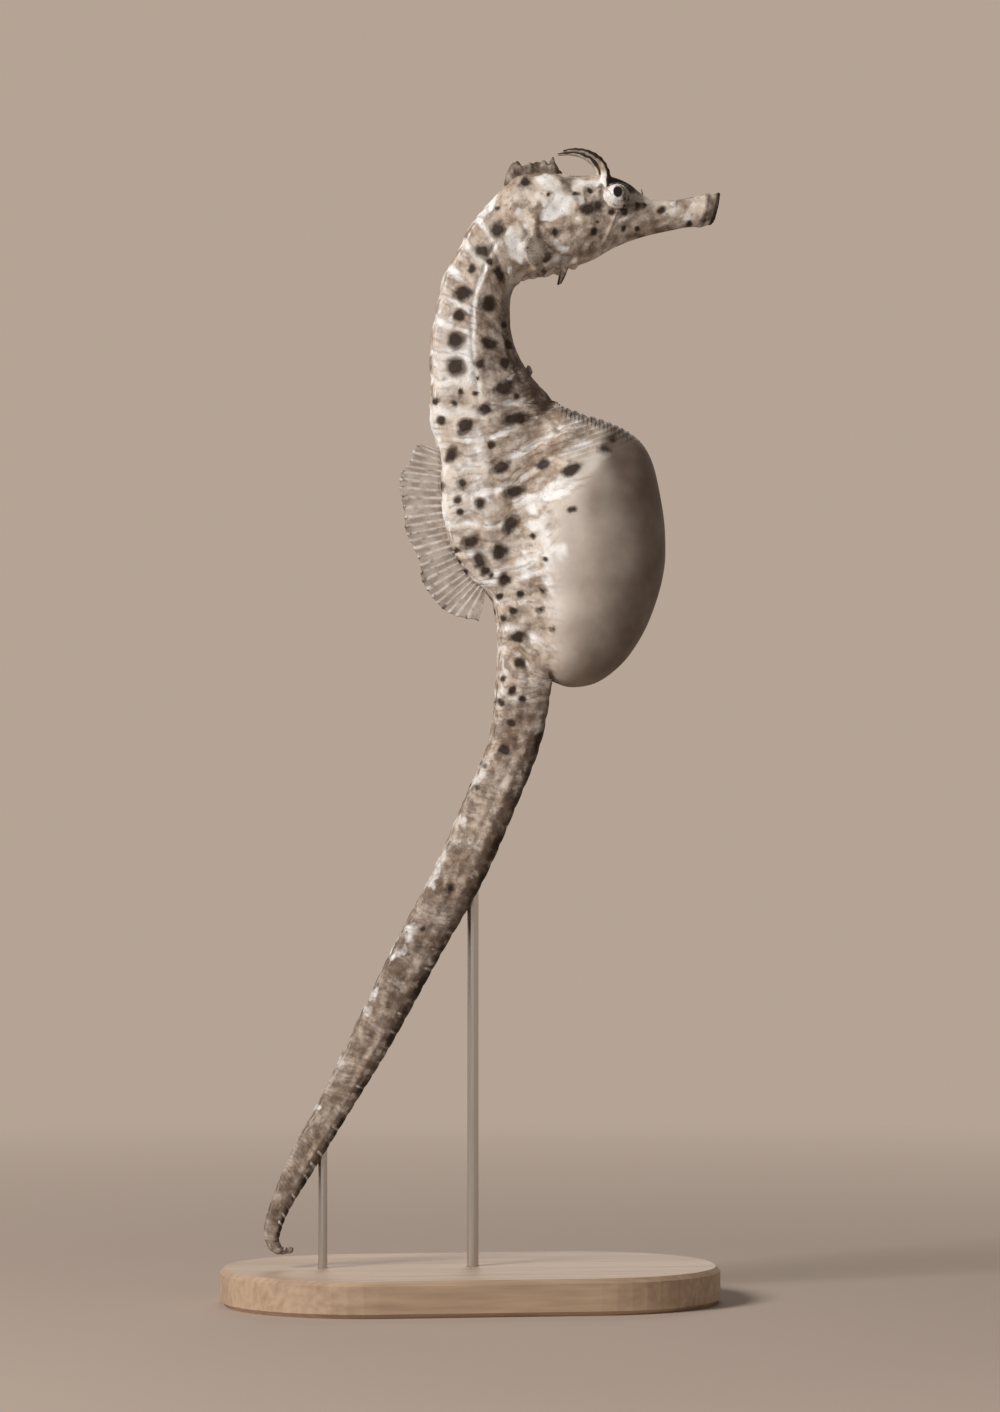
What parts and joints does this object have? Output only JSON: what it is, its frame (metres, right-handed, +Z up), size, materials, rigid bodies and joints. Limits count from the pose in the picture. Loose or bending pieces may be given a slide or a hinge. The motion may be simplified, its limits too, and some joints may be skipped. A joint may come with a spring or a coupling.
{
  "type": "big-bellied seahorse model on a display stand",
  "caption": "Still life-size model of a male big-bellied seahorse with a full brood pouch, held upright on a plain wooden base by two thin rods.",
  "frame": {"origin": "middle of the stand's flat underside", "axes": "+X is the way the animal faces, +Z is up, and y = 0 is its mirror plane, so +Y is its left side"},
  "size_m": [0.1104, 0.066, 0.2537],
  "materials": {
    "skin": "matte painted skin, cream with dark brown spots, dusky along the belly and tail",
    "spine": "matte, dark on the outer side and cream on the inner side",
    "coronet": "rough mottled brown",
    "eye": "wet gloss, cream iris with a black pupil",
    "fin": "thin translucent membrane over raised rays, with brown flecks",
    "stand_wood": "pale oak, sanded and waxed",
    "stand_steel": "satin"
  },
  "bodies": {
    "root": {"head": "skin", "gill_cover_left": "skin", "gill_cover_right": "skin", "eye_left": "eye", "eye_right": "eye", "eye_spine_left": "spine", "eye_spine_right": "spine", "coronet": "coronet", "snout": "skin", "neck": "skin", "trunk_upper": "skin", "trunk_lower": "skin", "pouch": "skin", "dorsal_fin": "fin", "pectoral_fin_left": "fin", "pectoral_fin_right": "fin", "anal_fin": "fin", "tail_base": "skin", "tail_upper": "skin", "tail_middle": "skin", "tail_lower": "skin", "tail_end": "skin", "tail_tip": "skin", "stand_base": "stand_wood", "stand_rod_main": "stand_steel", "stand_rod_rear": "stand_steel"}
  },
  "joints": []
}
